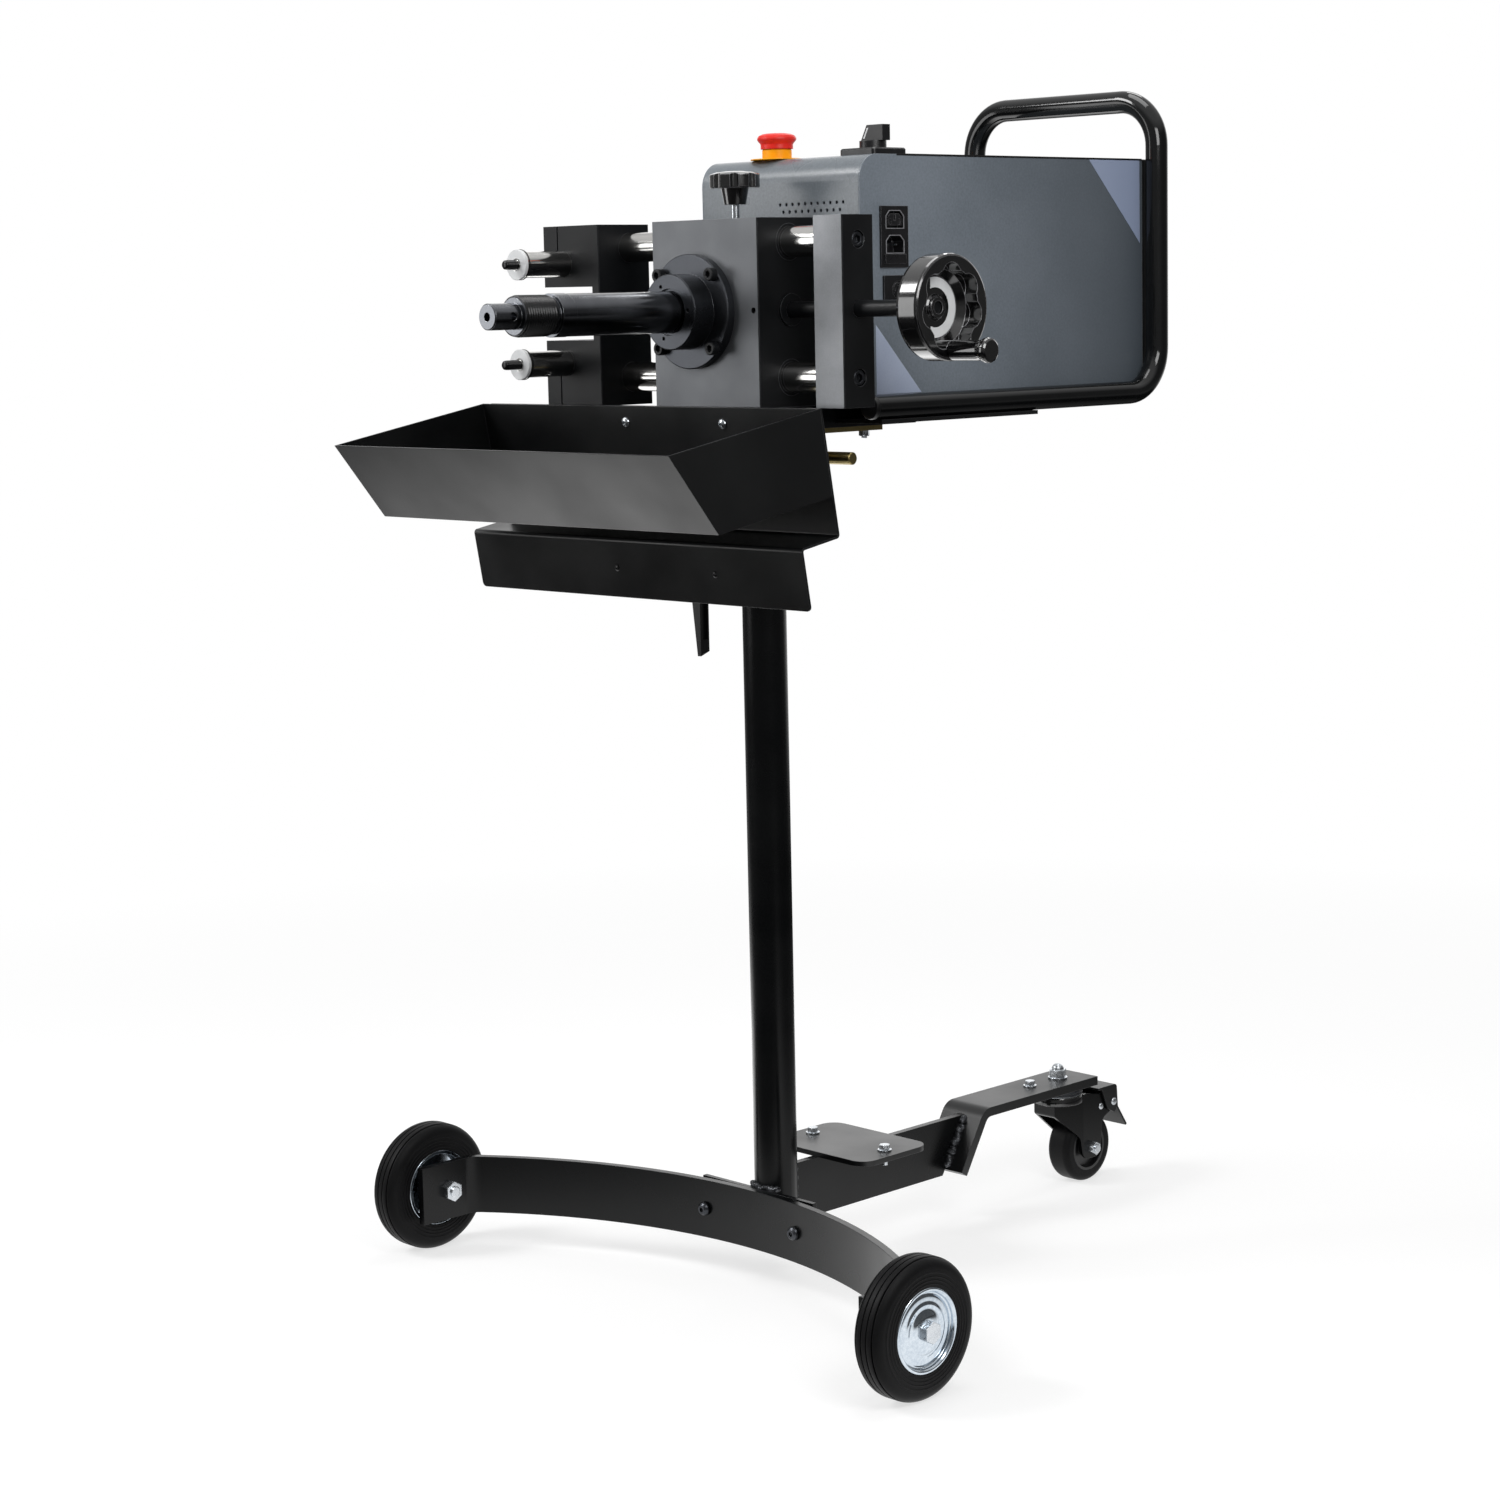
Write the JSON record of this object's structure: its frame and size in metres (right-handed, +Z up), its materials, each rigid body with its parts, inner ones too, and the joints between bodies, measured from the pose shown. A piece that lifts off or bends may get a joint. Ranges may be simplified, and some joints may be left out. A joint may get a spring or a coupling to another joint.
{
  "type": "brake lathe",
  "caption": "Brake lathe head with powered spindle, sliding tool block and chip tray, tilting and swivelling on a lifting mast over a wheeled trolley.",
  "frame": {"origin": "on the floor in the middle of the object's outline", "axes": "+X to the right along the guide rods, +Y to the rear, +Z up; the spindle's nose points to -Y"},
  "size_m": [0.7636, 0.8882, 1.2254],
  "materials": {
    "black_powder_coat": "satin",
    "slate_paint": "fine texture",
    "zinc_plated_steel": "plated",
    "yellow_zinc_steel": "plated",
    "black_oxide_steel": "oxide",
    "ground_steel": "ground",
    "tyre_rubber": "matte",
    "black_plastic": "satin",
    "gloss_black_plastic": "gloss",
    "yellow_plastic": "satin",
    "red_plastic": "satin",
    "bronze": "machined",
    "motor_aluminium": "cast"
  },
  "bodies": {
    "trolley": {"front_bar": "black_powder_coat", "joint_plate": "black_powder_coat", "bar_bolts": "black_oxide_steel", "mast_tube": "black_powder_coat", "mast_collar": "black_powder_coat", "rear_beam": "black_powder_coat", "accessory_plate": "black_powder_coat", "frame_bolts": "zinc_plated_steel", "caster_bracket": "black_powder_coat", "axle_bolts": "zinc_plated_steel", "caster_stem": "zinc_plated_steel"},
    "left_wheel": {"left_tyre": "tyre_rubber", "left_rim": "zinc_plated_steel"},
    "right_wheel": {"right_tyre": "tyre_rubber", "right_rim": "zinc_plated_steel"},
    "caster": {"caster_fork": "black_powder_coat", "caster_axle": "zinc_plated_steel"},
    "caster_wheel": {"caster_tyre": "tyre_rubber", "caster_hub": "black_plastic"},
    "caster_brake": {"caster_pedal": "black_powder_coat"},
    "clamp": {"clamp_lever": "black_plastic"},
    "post": {"inner_post": "ground_steel"},
    "yoke": {"swivel_yoke": "black_powder_coat", "pivot_pin": "yellow_zinc_steel"},
    "head": {"pivot_bracket": "yellow_zinc_steel", "mounting_plate": "black_oxide_steel", "base_plate": "black_powder_coat", "rail_frame": "black_powder_coat", "tray_bracket": "black_powder_coat", "chip_tray": "black_powder_coat", "apron": "black_powder_coat", "housing_wrap": "slate_paint", "side_panel_left": "slate_paint", "side_panel_right": "slate_paint", "rear_panel": "black_powder_coat", "housing_floor": "black_powder_coat", "head_block": "black_oxide_steel", "spindle_bearings": "ground_steel", "bearing_flange": "black_oxide_steel", "bushes": "black_oxide_steel", "gear_motor": "motor_aluminium", "power_module": "black_plastic", "signal_socket": "black_plastic", "estop_collar": "yellow_plastic", "switch_base": "black_plastic"},
    "spindle": {"spindle": "ground_steel"},
    "carriage": {"guide_rods": "ground_steel", "end_plate": "black_oxide_steel", "lead_nut": "bronze", "tool_block": "black_oxide_steel"},
    "upper_post": {"upper_tool_post": "ground_steel"},
    "lower_post": {"lower_tool_post": "ground_steel"},
    "feed": {"lead_screw": "black_oxide_steel", "handwheel": "gloss_black_plastic", "crank_pin": "zinc_plated_steel"},
    "crank": {"crank_handle": "gloss_black_plastic"},
    "lock": {"lock_knob": "black_plastic"},
    "estop": {"estop_button": "red_plastic"},
    "switch": {"switch_knob": "black_plastic"},
    "fuse": {"fuse_drawer": "black_plastic"}
  },
  "joints": [
    {"name": "left_wheel_spin", "type": "hinge", "parent": "trolley", "child": "left_wheel", "pos_m": [-0.357, -0.281, 0.0685], "axis": [1, 0, 0], "continuous": true},
    {"name": "right_wheel_spin", "type": "hinge", "parent": "trolley", "child": "right_wheel", "pos_m": [0.357, -0.281, 0.0685], "axis": [1, 0, 0], "continuous": true},
    {"name": "caster_swivel", "type": "hinge", "parent": "trolley", "child": "caster", "pos_m": [0, 0.3485, 0.1], "axis": [0, 0, 1], "continuous": true},
    {"name": "caster_wheel_spin", "type": "hinge", "parent": "caster", "child": "caster_wheel", "pos_m": [0, 0.385, 0.04], "axis": [1, 0, 0], "continuous": true},
    {"name": "caster_brake_press", "type": "hinge", "parent": "caster", "child": "caster_brake", "pos_m": [0, 0.416, 0.087], "axis": [1, 0, 0], "range_deg": [-12, 0]},
    {"name": "clamp_turn", "type": "hinge", "parent": "trolley", "child": "clamp", "pos_m": [-0.093, -0.105, 0.735], "axis": [1, 0, 0], "range_deg": [0, 90]},
    {"name": "mast_lift", "type": "slide", "parent": "trolley", "child": "post", "axis": [0, 0, 1], "range_m": [0, 0.2]},
    {"name": "head_swivel", "type": "hinge", "parent": "post", "child": "yoke", "pos_m": [0, -0.105, 0.8], "axis": [0, 0, 1], "range_deg": [-45, 45]},
    {"name": "head_tilt", "type": "hinge", "parent": "yoke", "child": "head", "pos_m": [0, -0.105, 0.856], "axis": [1, 0, 0], "range_deg": [-5, 5]},
    {"name": "spindle_turn", "type": "hinge", "parent": "head", "child": "spindle", "pos_m": [-0.015, -0.1776, 1.0015], "axis": [0, -1, 0], "continuous": true},
    {"name": "handwheel_turn", "type": "hinge", "parent": "head", "child": "feed", "pos_m": [0.263, -0.1337, 1.0015], "axis": [1, 0, 0], "range_deg": [-6480, 4320]},
    {"name": "carriage_slide", "type": "slide", "parent": "head", "child": "carriage", "axis": [1, 0, 0], "range_m": [-0.048, 0.072]},
    {"name": "crank_turn", "type": "hinge", "parent": "feed", "child": "crank", "pos_m": [0.3, -0.1337, 0.9615], "axis": [1, 0, 0], "continuous": true},
    {"name": "upper_post_slide", "type": "slide", "parent": "carriage", "child": "upper_post", "axis": [0, -1, 0], "range_m": [-0.03, 0.04]},
    {"name": "lower_post_slide", "type": "slide", "parent": "carriage", "child": "lower_post", "axis": [0, -1, 0], "range_m": [-0.03, 0.04]},
    {"name": "lock_turn", "type": "hinge", "parent": "head", "child": "lock", "pos_m": [0, -0.1337, 1.11], "axis": [0, 0, 1], "range_deg": [0, 270]},
    {"name": "estop_press", "type": "slide", "parent": "head", "child": "estop", "axis": [0, 0, 1], "range_m": [-0.005, 0], "stiffness_N_per_m": 800, "springref_m": 0.002},
    {"name": "switch_turn", "type": "hinge", "parent": "head", "child": "switch", "pos_m": [0.087, -0.026, 1.16], "axis": [0, 0, 1], "range_deg": [-60, 60]},
    {"name": "fuse_slide", "type": "slide", "parent": "head", "child": "fuse", "axis": [1, 0, 0], "range_m": [0, 0.02]}
  ],
  "couplings": [
    {"joint": "handwheel_turn", "follows": "carriage_slide", "rad_per_m": -1570.8}
  ]
}
